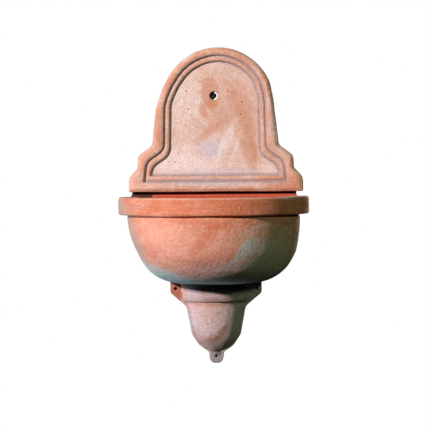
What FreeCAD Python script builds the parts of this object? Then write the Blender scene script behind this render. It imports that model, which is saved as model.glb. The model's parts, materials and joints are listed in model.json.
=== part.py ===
import FreeCAD, Part
import math
import os

import Sketcher

# A garden wall fountain in fired clay: an arched panel, a half-round basin and a hollow bracket.
# Frame: +Z up, the wall is the plane Y = 0 and the fountain stands out of it towards -Y.
# The origin lies in the wall plane, midway between the two screw holes in the bracket's ears.

DIMENSIONS = (
    ("rim_radius", 275, "basin rim: radius of its round front, half its width"),
    ("rim_standoff", 35, "basin rim: distance of the round front's centre from the wall"),
    ("rim_corner", 50, "basin rim: radius of the two corners at the wall"),
    ("rim_height", 51, "basin rim: height of the band"),
    ("rim_top_round", 7, "basin rim: rounding of its upper edge"),
    ("rim_under_round", 5, "basin rim: rounding of its lower edge"),
    ("rim_inner_round", 8, "basin rim: rounding of its inner edge"),
    ("bowl_radius", 249, "bowl: outer radius just under the rim"),
    ("bowl_standoff", 49, "bowl: distance of the round front's centre from the wall, just under the rim"),
    ("bowl_corner", 60, "bowl: outer corner radius at the wall, just under the rim"),
    ("bowl_height", 197, "bowl: from its flat base to the rim"),
    ("bowl_share", 0.49, "bowl: size of its lowest outline, as a share, if its side ran on until level"),
    ("bowl_sweep", 85, "bowl: angle of the oval that its side follows, in degrees"),
    ("cavity_radius", 230, "basin cavity: radius at the rim"),
    ("cavity_corner", 40, "basin cavity: radius of its two back corners"),
    ("cavity_share", 0.55, "basin cavity: the same share for its side"),
    ("cavity_sweep", 80, "basin cavity: angle of the oval that its side follows, in degrees"),
    ("cavity_back", 42, "basin: thickness of its back wall"),
    ("floor_thickness", 22, "basin: thickness of its floor"),
    ("ledge_half", 238, "ledge behind the rim that carries the panel: half its length"),
    ("ledge_depth", 32, "ledge: front to back"),
    ("ledge_height", 11, "ledge: height above the rim"),
    ("drain_offset", 61, "basin drain: distance of its axis from the wall"),
    ("drain_hole", 22, "basin drain: diameter of the hole in the clay"),
    ("screw_hole", 8.5, "diameter of every wall screw hole"),
    ("basin_screw_spacing", 300, "basin: distance between its two wall screws"),
    ("basin_screw_height", 219, "basin: height of its wall screws above its base"),
    ("bracket_top", 20, "bracket: height of its top above the ear screws"),
    ("flange_thickness", 16, "bracket: thickness of its back flange"),
    ("ear_half", 133, "bracket flange: half its width across the ears"),
    ("ear_low", 12, "bracket flange: drop of the ears' lower corners below the screws"),
    ("flange_waist_half", 86, "bracket flange: half its width at the waist"),
    ("flange_waist_low", 51, "bracket flange: drop of the waist below the screws"),
    ("flange_hip_half", 71, "bracket flange: half its width at the hip"),
    ("flange_hip_low", 133, "bracket flange: drop of the hip below the screws"),
    ("flange_low_half", 50, "bracket flange: half its width at the lower bend"),
    ("flange_low", 164, "bracket flange: drop of the lower bend below the screws"),
    ("tab_root_half", 22, "bracket tab: half its width at the root"),
    ("tab_root_low", 184, "bracket tab: drop of the root below the screws"),
    ("tab_end_half", 18, "bracket tab: half its width at the end"),
    ("tab_end_low", 216, "bracket tab: drop of the end below the screws"),
    ("tab_screw_low", 196, "bracket tab: drop of its screw below the ear screws"),
    ("ear_screw_spacing", 234, "bracket: distance between the ear screws"),
    ("corbel_depth_ratio", 0.9, "bracket body: depth as a share of its half width"),
    ("corbel_wall", 16, "bracket body: thickness of the clay"),
    ("ear_round", 16, "bracket flange: rounding of the ears' lower corners"),
    ("flange_waist_round", 30, "bracket flange: rounding of the waist"),
    ("hip_round", 35, "bracket flange: rounding of the hip"),
    ("low_round", 25, "bracket flange: rounding of the lower bend"),
    ("tab_root_round", 5, "bracket tab: rounding at the root"),
    ("tab_end_round", 16, "bracket tab: rounding at the end"),
    ("plaque_thickness", 46, "panel: thickness over the outer band"),
    ("outer_step", 6.5, "panel: step down from the outer band to the inner band"),
    ("inner_step", 5.5, "panel: step down from the inner band to the field"),
    ("hollow_depth", 18, "panel: depth of the hollow in its back"),
    ("arch_height", 246, "panel: height of the arch's centre above the panel's foot"),
    ("arch_radius", 172, "panel outline: radius of the arch"),
    ("foot_half", 252, "panel outline: half the width of the foot"),
    ("foot_top", 44, "panel outline: height where the foot starts to narrow"),
    ("step_half", 226, "panel outline: half width above the foot"),
    ("step_low", 70, "panel outline: height where the foot has narrowed"),
    ("shoulder_half", 224, "panel outline: half width under the shoulder"),
    ("shoulder_low", 105, "panel outline: height where the shoulder starts"),
    ("waist_half", 186, "panel outline: half width above the shoulder"),
    ("waist_low", 137, "panel outline: height where the shoulder ends"),
    ("band_arch", 148, "outer band: inner radius at the arch"),
    ("band_foot_half", 206, "outer band: inner half width at the foot"),
    ("band_foot_low", 32, "outer band: height at the foot"),
    ("band_hip_half", 199, "outer band: inner half width under the shoulder"),
    ("band_hip_low", 89, "outer band: height under the shoulder"),
    ("band_waist_half", 151, "outer band: inner half width above the shoulder"),
    ("band_waist_low", 121, "outer band: height above the shoulder"),
    ("field_arch", 131, "field: radius at the arch"),
    ("field_foot_half", 187, "field: half width at the foot"),
    ("field_foot_low", 50, "field: height of its lower edge"),
    ("field_hip_half", 181, "field: half width under the shoulder"),
    ("field_hip_low", 77, "field: height under the shoulder"),
    ("field_waist_half", 133, "field: half width above the shoulder"),
    ("field_waist_low", 107, "field: height above the shoulder"),
    ("foot_corner", 5, "panel outline: rounding of the foot's lower corners"),
    ("foot_round", 35, "panel outline: rounding over the foot"),
    ("shoulder_round", 18, "panel outline: rounding of the shoulder"),
    ("waist_round", 14, "panel outline: rounding of the waist"),
    ("contour_round", 38, "panel bands: rounding of their bends at the shoulder"),
    ("band_round", 12, "panel: rounding of the outer band's outer edge"),
    ("band_inner_round", 3, "panel: rounding of the outer band's inner edge"),
    ("field_edge_round", 2.5, "panel: rounding of the inner band's inner edge"),
    ("spout_height", 279, "panel: height of the spout hole above the panel's foot"),
    ("spout_hole", 25, "panel: diameter of the spout hole"),
    ("socket_spacing", 326, "panel: distance between the two hanging sockets in its back"),
    ("socket_height", 215, "panel: height of the hanging sockets"),
    ("socket_hole", 10, "panel: diameter of the hanging sockets"),
    ("socket_depth", 20, "panel: depth of the hanging sockets"),
    ("elbow_nose", 23.5, "inlet elbow: outer diameter of the nose in the spout hole"),
    ("elbow_mouth", 15, "inlet elbow: inner diameter of the nose"),
    ("nose_setback", 6.5, "inlet elbow: distance of its mouth behind the panel's field"),
    ("elbow_throat", 10, "inlet elbow: inner diameter behind the nose"),
    ("elbow_plate_span", 48, "inlet elbow: length of its oval plate"),
    ("elbow_plate_width", 26, "inlet elbow: width of its oval plate"),
    ("elbow_plate_thickness", 3, "inlet elbow: thickness of its plate"),
    ("elbow_barrel", 18, "inlet elbow: diameter of the barrel behind the plate"),
    ("elbow_wall_gap", 1.5, "inlet elbow: distance of the barrel's closed end from the wall"),
    ("elbow_end_wall", 3.5, "inlet elbow: thickness of the barrel's closed end"),
    ("tail_axis", 8, "inlet elbow: distance of the hose tail's axis from the wall"),
    ("tail_tube", 10.5, "inlet elbow: diameter of the hose tail between its barbs"),
    ("tail_barb", 12.6, "inlet elbow: diameter of the hose tail's barbs"),
    ("tail_bore", 7.5, "inlet elbow: bore of the hose tail"),
    ("tail_length", 44, "inlet elbow: drop of the hose tail below the spout's axis"),
    ("barb_pitch", 8, "inlet elbow: distance from barb to barb"),
    ("barb_length", 5, "inlet elbow: length of a barb"),
    ("gasket_thickness", 2, "inlet gasket: thickness"),
    ("gasket_hole", 24, "inlet gasket: diameter of its middle hole"),
    ("plug_spacing", 34, "inlet screws: distance between them"),
    ("plug_diameter", 6, "wall plugs in the panel: diameter"),
    ("plug_length", 12, "wall plugs in the panel: length"),
    ("inlet_screw_shank", 3.4, "inlet screws: diameter of the shank"),
    ("inlet_screw_length", 16, "inlet screws: length under the head"),
    ("inlet_screw_head", 7, "inlet screws: diameter of the head"),
    ("inlet_head_height", 2.2, "inlet screws: height of the head"),
    ("screw_slot", 1, "inlet screws: width of the slot in the head"),
    ("screw_play", 0.4, "inlet screws: how much wider their holes in the plate and gasket are"),
    ("waste_tube", 21, "waste: outer diameter of its tube"),
    ("waste_bore", 17, "waste: inner diameter of its tube"),
    ("waste_flange", 36, "waste: diameter of its flange"),
    ("waste_flange_height", 2.5, "waste: thickness of its flange"),
    ("waste_tail_low", 8, "waste: drop of its lower end below the ear screws"),
    ("washer_hole", 21.4, "waste washers: inner diameter"),
    ("washer_thickness", 2, "waste washers and the standpipe's seal: thickness"),
    ("under_washer", 32, "waste washer under the floor: outer diameter"),
    ("nut_flats", 27, "waste nut: width across its flats"),
    ("nut_height", 9, "waste nut: height"),
    ("seal_outer", 26, "standpipe seal and collar: outer diameter"),
    ("collar_height", 5, "standpipe: height of its collar"),
    ("spigot_diameter", 16.8, "standpipe: diameter of the spigot inside the waste"),
    ("spigot_length", 20, "standpipe: length of the spigot below the collar"),
    ("spigot_bore", 13, "standpipe: bore of the spigot"),
    ("pipe_diameter", 20, "standpipe: diameter of the pipe"),
    ("pipe_bore", 17, "standpipe: bore of the pipe"),
    ("water_drop", 43, "standpipe: drop of its mouth below the top of the rim"),
)

# Height above the ear screws and half width of the bracket's body: the collar over the groove,
# the bell under it, and the hollow inside both.
COLLAR = ((20, 108), (0, 106.5), (-17, 103.5), (-30, 98), (-38, 91))
BELL = (
    (-38, 86), (-50, 82), (-66, 79), (-96, 73), (-121, 66.5), (-140, 57), (-156, 44), (-168, 30), (-177, 15),
)
HOLLOW = ((20, 108), (-8, 104), (-38, 85), (-66, 78), (-96, 72), (-121, 65), (-142, 54))

# Level outlines from which the bowl and its cavity are lofted, and barbs on the hose tail.
BOWL_SECTIONS = 6
BARBS = 3

# Heights above the ear screws, and depths from the wall, that several pieces share.
BASIN_BASE = "dims.bracket_top"
BASIN_FLOOR = "dims.bracket_top + dims.floor_thickness"
RIM_TOP = "dims.bracket_top + dims.bowl_height + dims.rim_height"
PANEL_FOOT = f"{RIM_TOP} + dims.ledge_height"
SPOUT = f"{PANEL_FOOT} + dims.spout_height"
SEAL_TOP = f"{BASIN_FLOOR} + dims.washer_thickness * 2 + dims.waste_flange_height"
GASKET_BACK = "dims.hollow_depth - dims.gasket_thickness"
PLATE_BACK = f"{GASKET_BACK} - dims.elbow_plate_thickness"
NOSE_TIP = "dims.plaque_thickness - dims.outer_step - dims.inner_step - dims.nose_setback"
SCREW_CLEARANCE = "dims.inlet_screw_shank + dims.screw_play"

# Turned about X by this angle, an upright axis points forward, away from the wall.
FORWARD = 90
# Lengths closer than this, in millimetres, are the same.
LENGTH_SLACK = 0.01

doc = FreeCAD.newDocument("garden_wall_fountain")
sheet = doc.addObject("Spreadsheet::Sheet", "dims")
for row, (name, number, note) in enumerate(DIMENSIONS, start=1):
    sheet.set(f"A{row}", note)
    sheet.set(f"B{row}", str(number))
    sheet.setAlias(f"B{row}", name)
doc.recompute()


def worth(expression):
    """The number that an expression over the sheet gives."""
    return float(sheet.evalExpression(expression))


def origin_plane(body, role):
    return next(feature for feature in body.Origin.OriginFeatures if feature.Role == role)


def new_body(label, height="0"):
    """A piece of its own, raised above the ear screws."""
    body = doc.addObject("PartDesign::Body", label)
    body.Label = label
    body.setExpression("Placement.Base.z", height)
    return body


def new_sketch(body, name, role, offset):
    """A sketch on a plane of the piece. Upright ones face the front and move out from the wall."""
    sketch = body.newObject("Sketcher::SketchObject", name)
    sketch.AttachmentSupport = (origin_plane(body, role), [""])
    sketch.MapMode = "FlatFace"
    sketch.setExpression("AttachmentOffset.Base.z", offset)
    return sketch


def bind(sketch, kind, where, expression):
    """A size in a sketch, tied to the sheet."""
    index = sketch.addConstraint(Sketcher.Constraint(kind, *where, worth(expression)))
    sketch.setExpression(f"Constraints[{index}]", expression)


def constrain(sketch, *rules):
    for rule in rules:
        sketch.addConstraint(Sketcher.Constraint(*rule))


def line(start, end):
    return Part.LineSegment(FreeCAD.Vector(*start, 0), FreeCAD.Vector(*end, 0))


def circle(centre, radius):
    return Part.Circle(FreeCAD.Vector(*centre, 0), FreeCAD.Vector(0, 0, 1), radius)


def arc(centre, radius, start, end):
    return Part.ArcOfCircle(circle(centre, radius), start, end)


def place_point(sketch, geometry, vertex, along, up):
    """Tie a point of a sketch to its two distances from the sketch's origin."""
    for kind, axis, expression in (("DistanceX", -2, along), ("DistanceY", -1, up)):
        place = worth(expression)
        if place > 0:
            bind(sketch, kind, (-1, 1, geometry, vertex), expression)
        elif place < 0:
            bind(sketch, kind, (geometry, vertex, -1, 1), f"-({expression})")
        else:
            constrain(sketch, ("PointOnObject", geometry, vertex, axis))


def place_corners(sketch, corners, ends):
    """Right corners take their places from the sheet, and left ones mirror them."""
    for (along, up), right, left in zip(corners, ends, reversed(ends)):
        place_point(sketch, *right, along, up)
        constrain(sketch, ("Symmetric", *right, *left, -2))


def bowl_plan(body, name, height, radius, standoff, corner, back="0"):
    """A level outline: straight back, two round corners and one round front, all tangent."""
    sketch = new_sketch(body, name, "XY_Plane", height)
    front, stand, turn, rear = (worth(e) for e in (radius, standoff, corner, back))
    drop = rear + turn - stand
    reach = math.sqrt((front - turn) ** 2 - drop**2)
    lean = math.atan2(-drop, reach)
    quarter = math.pi / 2
    sketch.addGeometry(line((-reach, -rear), (reach, -rear)))
    sketch.addGeometry(arc((reach, -rear - turn), turn, lean, quarter))
    sketch.addGeometry(arc((0, -stand), front, math.pi - lean, 2 * math.pi + lean))
    sketch.addGeometry(arc((-reach, -rear - turn), turn, quarter, math.pi - lean))
    constrain(
        sketch,
        ("Tangent", 0, 2, 1, 2),
        ("Tangent", 1, 1, 2, 2),
        ("Tangent", 2, 1, 3, 2),
        ("Tangent", 3, 1, 0, 1),
        ("Horizontal", 0),
        ("Equal", 1, 3),
        ("PointOnObject", 2, 3, -2),
    )
    bind(sketch, "Radius", (2,), radius)
    bind(sketch, "Radius", (1,), corner)
    bind(sketch, "DistanceY", (2, 3, -1, 1), standoff)
    if rear > 0:
        bind(sketch, "DistanceY", (0, 1, -1, 1), back)
    else:
        constrain(sketch, ("PointOnObject", 0, 1, -1))
    return sketch


def corbel_plan(body, name, height, half, depth):
    """A level outline: a straight line along the wall and one round front."""
    sketch = new_sketch(body, name, "XY_Plane", height)
    wide, deep = worth(half), worth(depth)
    radius = (wide**2 + deep**2) / (2 * deep)
    rise = radius - deep
    end = math.atan2(-rise, wide)
    sketch.addGeometry(line((-wide, 0), (wide, 0)))
    sketch.addGeometry(arc((0, rise), radius, -math.pi - end, end))
    constrain(
        sketch,
        ("Coincident", 1, 1, 0, 1),
        ("Coincident", 1, 2, 0, 2),
        ("Symmetric", 0, 1, 0, 2, -1, 1),
        ("PointOnObject", 0, 1, -1),
    )
    bind(sketch, "DistanceX", (0, 1, 0, 2), f"2 * ({half})")
    bind(sketch, "Radius", (1,), f"(({half})^2 + ({depth})^2) / (2 * ({depth}))")
    return sketch


def polygon(body, name, offset, corners):
    """An upright outline of straight sides. The corners are those of the right half, bottom up."""
    sketch = new_sketch(body, name, "XZ_Plane", offset)
    right = [(worth(along), worth(up)) for along, up in corners]
    points = right + [(-along, up) for along, up in reversed(right)]
    following = points[1:] + points[:1]
    for start, end in zip(points, following):
        sketch.addGeometry(line(start, end))
    count = len(points)
    for i in range(count):
        constrain(sketch, ("Coincident", i, 2, (i + 1) % count, 1))
    place_corners(sketch, corners, [(i, 1) for i in range(count)])
    return sketch


def arched_outline(body, name, offset, corners, arch):
    """An upright outline of straight sides under an arch that the last side meets as a tangent."""
    sketch = new_sketch(body, name, "XZ_Plane", offset)
    right = [(worth(along), worth(up)) for along, up in corners]
    radius, middle = worth(arch), worth("dims.arch_height")
    last_along, last_up = right[-1]
    span = math.hypot(last_along, middle - last_up)
    lean = math.atan2(last_up - middle, last_along) + math.acos(radius / span)
    meeting = (radius * math.cos(lean), middle + radius * math.sin(lean))
    climb = right + [meeting]
    descent = [(-along, up) for along, up in reversed(climb)]
    for start, end in zip(climb, climb[1:]):
        sketch.addGeometry(line(start, end))
    sketch.addGeometry(arc((0, middle), radius, lean, math.pi - lean))
    for start, end in zip(descent, descent[1:]):
        sketch.addGeometry(line(start, end))
    sketch.addGeometry(line(descent[-1], climb[0]))
    crown = len(corners)
    count = 2 * crown + 2
    for i in range(count):
        kind = "Tangent" if i in (crown - 1, crown) else "Coincident"
        constrain(sketch, (kind, i, 2, (i + 1) % count, 1))
    constrain(sketch, ("PointOnObject", crown, 3, -2))
    bind(sketch, "DistanceY", (-1, 1, crown, 3), "dims.arch_height")
    bind(sketch, "Radius", (crown,), arch)
    rising = [(i, 1) for i in range(crown)]
    falling = [(i, 2) for i in range(crown + 1, count - 1)]
    place_corners(sketch, corners, rising + falling)
    return sketch


def holes(body, name, role, offset, diameter, centres):
    """Round holes of one diameter."""
    sketch = new_sketch(body, name, role, offset)
    for i, (along, up) in enumerate(centres):
        sketch.addGeometry(circle((worth(along), worth(up)), worth(diameter) / 2))
        bind(sketch, "Diameter", (i,), diameter)
        place_point(sketch, i, 3, along, up)
    return sketch


def pair(spacing, up):
    """Two centres, one on each side of the middle."""
    return ((f"-{spacing} / 2", up), (f"{spacing} / 2", up))


def pad(body, name, sketch, length):
    feature = body.newObject("PartDesign::Pad", name)
    feature.Profile = sketch
    feature.setExpression("Length", length)
    doc.recompute()
    return feature


def pocket(body, name, sketch, length, reverse=False):
    """Cut a sketch's outline away, backwards or, reversed, forwards and upwards."""
    before = body.Shape.Volume
    feature = body.newObject("PartDesign::Pocket", name)
    feature.Profile = sketch
    feature.Reversed = reverse
    feature.setExpression("Length", length)
    doc.recompute()
    if body.Shape.Volume >= before:
        raise RuntimeError(f"{name} cuts nothing")
    return feature


def loft(body, name, kind, sketches):
    feature = body.newObject(f"PartDesign::{kind}Loft", name)
    feature.Profile = sketches[0]
    feature.Sections = sketches[1:]
    doc.recompute()
    return feature


def fillet(body, name, radius, wanted):
    """Round those edges of the piece so far that the test picks."""
    base = body.Tip
    picked = [f"Edge{i}" for i, edge in enumerate(base.Shape.Edges, start=1) if wanted(edge)]
    if not picked:
        raise RuntimeError(f"{name} finds no edge")
    feature = body.newObject("PartDesign::Fillet", name)
    feature.Base = (base, picked)
    feature.setExpression("Radius", radius)
    doc.recompute()
    return feature


def near(value, target):
    return abs(value - target) < LENGTH_SLACK


def level_edges(height):
    """A test for edges that lie flat at this height."""
    place = worth(height)
    return lambda edge: near(edge.BoundBox.ZMin, place) and near(edge.BoundBox.ZMax, place)


def corner_edges(*corners):
    """A test for edges that run front to back through these corners or their mirror images."""
    places = [(worth(along), worth(up)) for along, up in corners]

    def wanted(edge):
        box = edge.BoundBox
        if box.XLength > LENGTH_SLACK or box.ZLength > LENGTH_SLACK:
            return False
        return any(near(abs(box.XMin), along) and near(box.ZMin, up) for along, up in places)

    return wanted


def step_edges(body, front, back):
    """A test for the front edges of those side faces that run between these two depths."""
    front_place, back_place = -worth(front), -worth(back)
    sides = [
        face for face in body.Tip.Shape.Faces
        if near(face.BoundBox.YMin, front_place) and near(face.BoundBox.YMax, back_place)
    ]
    edges = [edge for face in sides for edge in face.Edges if near(edge.BoundBox.YMax, front_place)]
    return lambda edge: any(edge.isSame(other) for other in edges)


def mouth_edges(height):
    """A test for the level edges round the basin's mouth, at this height."""
    level = level_edges(height)
    side, back = worth("dims.cavity_radius"), worth("dims.cavity_back")

    def wanted(edge):
        box = edge.BoundBox
        inside = max(abs(box.XMin), abs(box.XMax)) < side + LENGTH_SLACK
        return level(edge) and inside and box.YMax < LENGTH_SLACK - back

    return wanted


def make_panel():
    """The arched back panel: a flat field inside two raised bands, hollow behind."""
    body = new_body("panel", PANEL_FOOT)
    foot, step, shoulder, waist = (
        ("dims.foot_half", "dims.foot_top"),
        ("dims.step_half", "dims.step_low"),
        ("dims.shoulder_half", "dims.shoulder_low"),
        ("dims.waist_half", "dims.waist_low"),
    )
    toe = ("dims.foot_half", "0")
    corners = (toe, foot, step, shoulder, waist)
    outline = arched_outline(body, "panel_outline", "0", corners, "dims.arch_radius")
    pad(body, "slab", outline, "dims.plaque_thickness")
    fillet(body, "toe_rounds", "dims.foot_corner", corner_edges(toe))
    fillet(body, "foot_rounds", "dims.foot_round", corner_edges(foot))
    fillet(body, "shoulder_rounds", "dims.shoulder_round", corner_edges(shoulder))
    fillet(body, "waist_rounds", "dims.waist_round", corner_edges(step, waist))
    fillet(body, "outer_edge", "dims.band_round", step_edges(body, "dims.plaque_thickness", "0"))

    depth = "dims.plaque_thickness"
    steps = (
        ("band", "dims.outer_step", "dims.band_inner_round"),
        ("field", "dims.inner_step", "dims.field_edge_round"),
    )
    for name, drop, edge_round in steps:
        low, hip, high = (
            (f"dims.{name}_{place}_half", f"dims.{name}_{place}_low") for place in ("foot", "hip", "waist")
        )
        contour = arched_outline(body, f"{name}_outline", depth, (low, hip, high), f"dims.{name}_arch")
        pocket(body, f"{name}_step", contour, drop)
        fillet(body, f"{name}_corners", "dims.contour_round", corner_edges(hip, high))
        floor = f"{depth} - {drop}"
        fillet(body, f"{name}_edge", edge_round, step_edges(body, depth, floor))
        depth = floor

    contour = arched_outline(body, "hollow_outline", "0", (
        ("dims.band_foot_half", "dims.band_foot_low"),
        ("dims.band_hip_half", "dims.band_hip_low"),
        ("dims.band_waist_half", "dims.band_waist_low"),
    ), "dims.band_arch")
    pocket(body, "back_hollow", contour, "dims.hollow_depth", reverse=True)

    spout = holes(body, "spout_circle", "XZ_Plane", "dims.plaque_thickness", "dims.spout_hole",
                  (("0", "dims.spout_height"),))
    pocket(body, "spout_opening", spout, "dims.plaque_thickness")
    sockets = holes(body, "socket_circles", "XZ_Plane", "0", "dims.socket_hole",
                    pair("dims.socket_spacing", "dims.socket_height"))
    pocket(body, "hanging_sockets", sockets, "dims.socket_depth", reverse=True)
    plugs = holes(body, "plug_circles", "XZ_Plane", "dims.hollow_depth", "dims.plug_diameter",
                  pair("dims.plug_spacing", "dims.spout_height"))
    pocket(body, "plug_holes", plugs, "dims.plug_length", reverse=True)
    return body


def make_basin():
    """The half-round bowl with its overhanging rim, flat back and flat base."""
    body = new_body("basin", BASIN_BASE)
    rim_top = "dims.bowl_height + dims.rim_height"
    rim = bowl_plan(body, "rim_outline", "dims.bowl_height", "dims.rim_radius", "dims.rim_standoff",
                    "dims.rim_corner")
    pad(body, "rim", rim, "dims.rim_height")
    fillet(body, "rim_upper_edge", "dims.rim_top_round", level_edges(rim_top))
    fillet(body, "rim_lower_edge", "dims.rim_under_round", level_edges("dims.bowl_height"))

    sections = []
    for i in range(BOWL_SECTIONS):
        angle = f"(dims.bowl_sweep * {i} / {BOWL_SECTIONS - 1}) * 1deg"
        full = "dims.bowl_height / sin(dims.bowl_sweep * 1deg)"
        share = f"(dims.bowl_share + (1 - dims.bowl_share) * cos({angle}))"
        sections.append(bowl_plan(
            body, f"bowl_outline_{i}", f"dims.bowl_height - {full} * sin({angle})",
            f"dims.bowl_radius * {share}", f"dims.bowl_standoff * {share}", f"dims.bowl_corner * {share}",
        ))
    loft(body, "bowl", "Additive", sections)

    back = polygon(body, "ledge_outline", "0", (
        ("dims.ledge_half", f"{rim_top} - dims.rim_height / 2"),
        ("dims.ledge_half", f"{rim_top} + dims.ledge_height"),
    ))
    pad(body, "ledge", back, "dims.ledge_depth")

    mouth = bowl_plan(body, "mouth_outline", rim_top, "dims.cavity_radius", "dims.rim_standoff",
                      "dims.cavity_corner", "dims.cavity_back")
    pocket(body, "mouth", mouth, "dims.rim_height")
    sections = []
    for i in range(BOWL_SECTIONS):
        angle = f"(dims.cavity_sweep * {i} / {BOWL_SECTIONS - 1}) * 1deg"
        full = "(dims.bowl_height - dims.floor_thickness) / sin(dims.cavity_sweep * 1deg)"
        share = f"(dims.cavity_share + (1 - dims.cavity_share) * cos({angle}))"
        sections.append(bowl_plan(
            body, f"cavity_outline_{i}", f"dims.bowl_height - {full} * sin({angle})",
            f"dims.cavity_radius * {share}", "dims.rim_standoff", "dims.cavity_corner", "dims.cavity_back",
        ))
    loft(body, "cavity", "Subtractive", sections)

    fillet(body, "rim_inner_edge", "dims.rim_inner_round", mouth_edges(rim_top))

    drain = holes(body, "drain_circle", "XY_Plane", "dims.floor_thickness", "dims.drain_hole",
                  (("0", "-dims.drain_offset"),))
    pocket(body, "drain", drain, "dims.floor_thickness")
    screws = holes(body, "screw_circles", "XZ_Plane", "dims.cavity_back", "dims.screw_hole",
                   pair("dims.basin_screw_spacing", "dims.basin_screw_height"))
    pocket(body, "screw_holes", screws, "dims.cavity_back")
    return body


def make_bracket():
    """The wall bracket under the basin: a hollow bell on a flange with two ears and a tab."""
    body = new_body("bracket")
    top, ear, waist, hip, low, root, end = (
        ("dims.ear_half", "dims.bracket_top"),
        ("dims.ear_half", "-dims.ear_low"),
        ("dims.flange_waist_half", "-dims.flange_waist_low"),
        ("dims.flange_hip_half", "-dims.flange_hip_low"),
        ("dims.flange_low_half", "-dims.flange_low"),
        ("dims.tab_root_half", "-dims.tab_root_low"),
        ("dims.tab_end_half", "-dims.tab_end_low"),
    )
    outline = polygon(body, "flange_outline", "0", (end, root, low, hip, waist, ear, top))
    pad(body, "flange", outline, "dims.flange_thickness")
    rounds = (
        ("ear_rounds", "dims.ear_round", ear),
        ("flange_waist_rounds", "dims.flange_waist_round", waist),
        ("hip_rounds", "dims.hip_round", hip),
        ("low_rounds", "dims.low_round", low),
        ("tab_root_rounds", "dims.tab_root_round", root),
        ("tab_end_rounds", "dims.tab_end_round", end),
    )
    for name, radius, corner in rounds:
        fillet(body, name, radius, corner_edges(corner))

    forms = (("collar", "Additive", COLLAR, "0"), ("bell", "Additive", BELL, "0"),
             ("hollow", "Subtractive", HOLLOW, "dims.corbel_wall"))
    for name, kind, profile, wall in forms:
        loft(body, name, kind, [
            corbel_plan(body, f"{name}_outline_{i}", f"{height}", f"{half} - {wall}",
                        f"{half} * dims.corbel_depth_ratio - {wall}")
            for i, (height, half) in enumerate(profile)
        ])
    centres = (*pair("dims.ear_screw_spacing", "0"), ("0", "-dims.tab_screw_low"))
    screws = holes(body, "screw_circles", "XZ_Plane", "dims.flange_thickness", "dims.screw_hole", centres)
    pocket(body, "screw_holes", screws, "dims.flange_thickness")
    return body


def primitive(kind, name, sizes, place=("0", "0", "0"), facing=None):
    """A plain solid whose sizes and place are tied to the sheet. A facing turns it about X."""
    solid = doc.addObject(f"Part::{kind}", name)
    if facing is not None:
        turn = FreeCAD.Rotation(FreeCAD.Vector(1, 0, 0), facing)
        solid.Placement = FreeCAD.Placement(FreeCAD.Vector(), turn)
    for size, expression in sizes.items():
        solid.setExpression(size, expression)
    for axis, expression in zip("xyz", place):
        solid.setExpression(f"Placement.Base.{axis}", expression)
    return solid


def rod(name, diameter, length, place=("0", "0", "0"), facing=None):
    return primitive("Cylinder", name, {"Radius": f"({diameter}) / 2", "Height": length}, place, facing)


def joined(name, solids):
    whole = doc.addObject("Part::MultiFuse", name)
    whole.Shapes = solids
    return whole


def bored(label, solid, tools, x="0", y="0", z="0"):
    """A finished piece: a solid less its bores, at its place in the fountain."""
    piece = doc.addObject("Part::Cut", label)
    piece.Label = label
    piece.Base = solid
    piece.Tool = joined(f"{label}_bores", tools) if len(tools) > 1 else tools[0]
    for axis, expression in zip("xyz", (x, y, z)):
        piece.setExpression(f"Placement.Base.{axis}", expression)
    return piece


def ring(label, outer, inner, height, z):
    """A flat ring on the waste's axis."""
    disc = rod(f"{label}_disc", outer, height)
    hole = rod(f"{label}_hole", inner, height)
    return bored(label, disc, [hole], y="-dims.drain_offset", z=z)


def oval(name, thickness, depth):
    """An upright oval plate with round ends: its back lies at this depth from the wall."""
    width, span = "dims.elbow_plate_width", "dims.elbow_plate_span"
    solids = [primitive("Box", f"{name}_middle",
                        {"Length": f"{span} - {width}", "Width": thickness, "Height": width},
                        (f"({width} - {span}) / 2", f"-({depth}) - {thickness}", f"-{width} / 2"))]
    for side, sign in (("left", "-"), ("right", "")):
        place = (f"{sign}({span} - {width}) / 2", f"-({depth})", "0")
        solids.append(rod(f"{name}_{side}_end", width, thickness, place, FORWARD))
    return joined(name, solids)


def screw_rods(name, diameter, length, depth):
    """Two rods on the axes of the inlet's screws, from this depth forwards."""
    rods = []
    for side, sign in (("left", "-"), ("right", "")):
        place = (f"{sign}dims.plug_spacing / 2", f"-({depth})", "0")
        rods.append(rod(f"{name}_{side}_rod", diameter, length, place, FORWARD))
    return rods


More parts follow.
